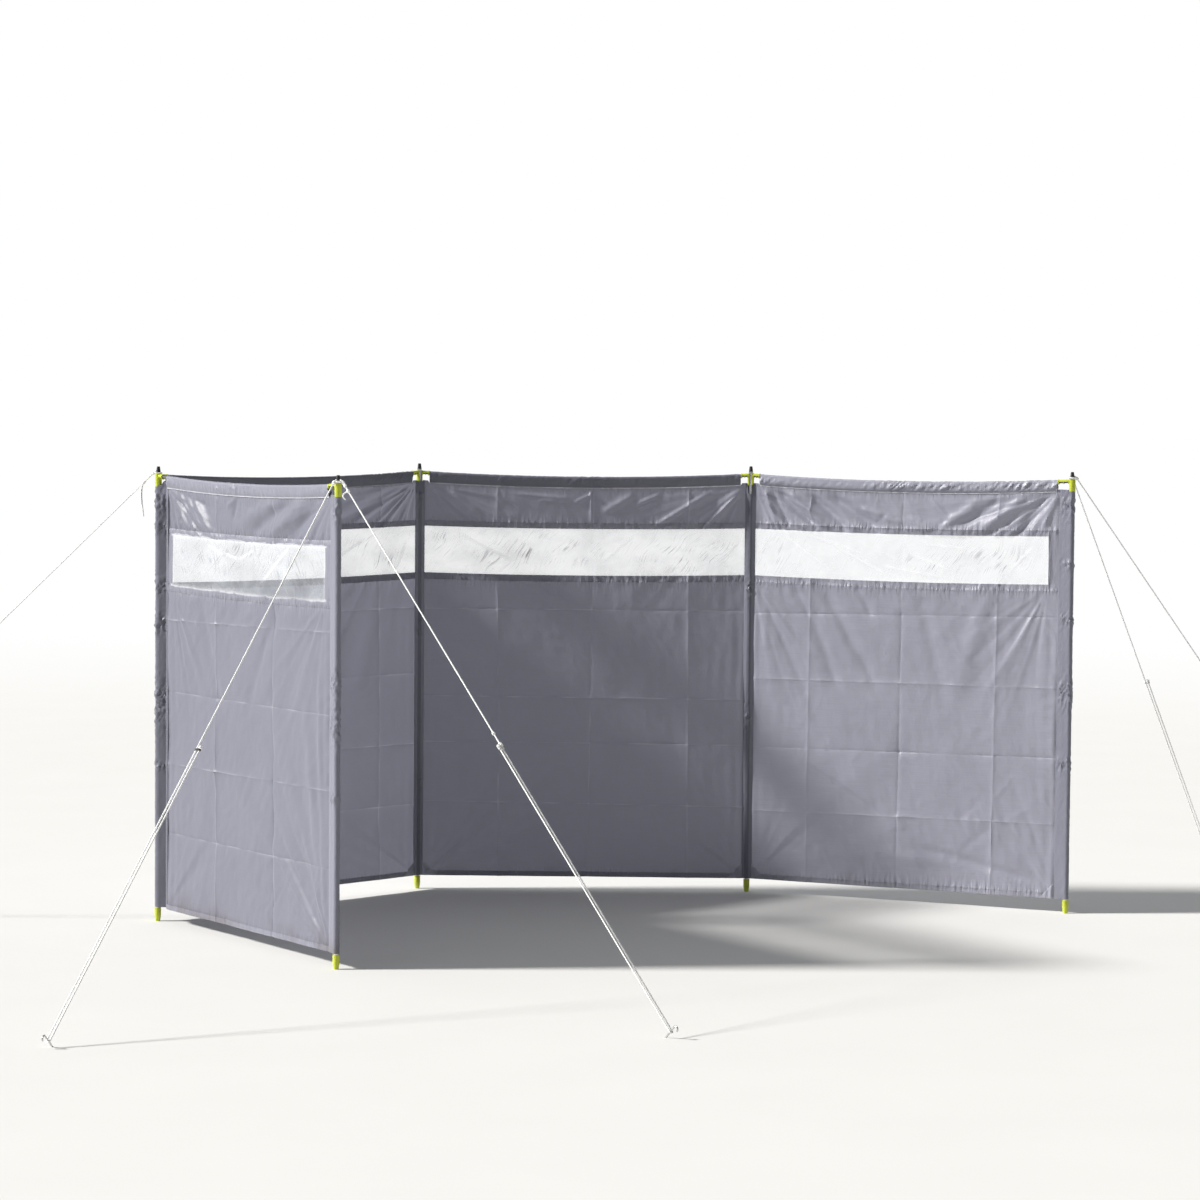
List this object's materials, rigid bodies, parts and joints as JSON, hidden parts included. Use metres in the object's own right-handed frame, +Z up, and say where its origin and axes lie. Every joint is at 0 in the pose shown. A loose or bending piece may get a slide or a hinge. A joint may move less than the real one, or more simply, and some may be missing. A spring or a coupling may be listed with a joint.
{
  "type": "beach windbreak",
  "caption": "Folding cloth windbreak on steel poles with clear windows, elbow connectors, top rails and guy lines, pitched in an open C.",
  "frame": {"origin": "centre of the flat foot under pole 3, the middle pole, on the ground", "axes": "+X along the open back of the C, left to right as seen from its sheltered side; +Y from the sheltered side out through the back cloth; +Z up"},
  "size_m": [4.5978, 3.1949, 1.2],
  "materials": {
    "pole_steel": "bright drawn tube",
    "rail_rod": "pultruded glass fibre rod",
    "cap_plastic": "moulded",
    "lime_plastic": "moulded, slightly glossy",
    "grey_cloth": "plain woven polyester with a light coating",
    "clear_film": "clear flexible film",
    "white_cord": "braided cord",
    "slider_plastic": "moulded",
    "peg_steel": "plated wire"
  },
  "bodies": {
    "root": {"pole_1": "pole_steel", "pole_2": "pole_steel", "pole_3": "pole_steel", "pole_4": "pole_steel", "pole_5": "pole_steel", "pole_caps": "cap_plastic", "pole_foot_1": "lime_plastic", "pole_foot_2": "lime_plastic", "pole_foot_3": "lime_plastic", "pole_foot_4": "lime_plastic", "pole_foot_5": "lime_plastic", "top_rail_1": "rail_rod", "top_rail_2": "rail_rod", "top_rail_3": "rail_rod", "top_rail_4": "rail_rod", "elbow_1_right": "lime_plastic", "elbow_2_left": "lime_plastic", "elbow_2_right": "lime_plastic", "elbow_3_left": "lime_plastic", "elbow_3_right": "lime_plastic", "elbow_4_left": "lime_plastic", "elbow_4_right": "lime_plastic", "elbow_5_left": "lime_plastic", "pole_sleeve_1": "grey_cloth", "pole_sleeve_2": "grey_cloth", "pole_sleeve_3": "grey_cloth", "pole_sleeve_4": "grey_cloth", "pole_sleeve_5": "grey_cloth", "cloth_panel_1": "grey_cloth", "cloth_panel_2": "grey_cloth", "cloth_panel_3": "grey_cloth", "cloth_panel_4": "grey_cloth", "window_film_1": "clear_film", "window_film_2": "clear_film", "window_film_3": "clear_film", "window_film_4": "clear_film", "guy_line_1": "white_cord", "guy_line_2": "white_cord", "guy_line_3": "white_cord", "guy_line_4": "white_cord", "guy_line_5": "white_cord", "guy_hitches": "white_cord", "line_sliders": "slider_plastic", "ground_peg_1": "peg_steel", "ground_peg_2": "peg_steel", "ground_peg_3": "peg_steel", "ground_peg_4": "peg_steel", "ground_peg_5": "peg_steel"}
  },
  "joints": []
}
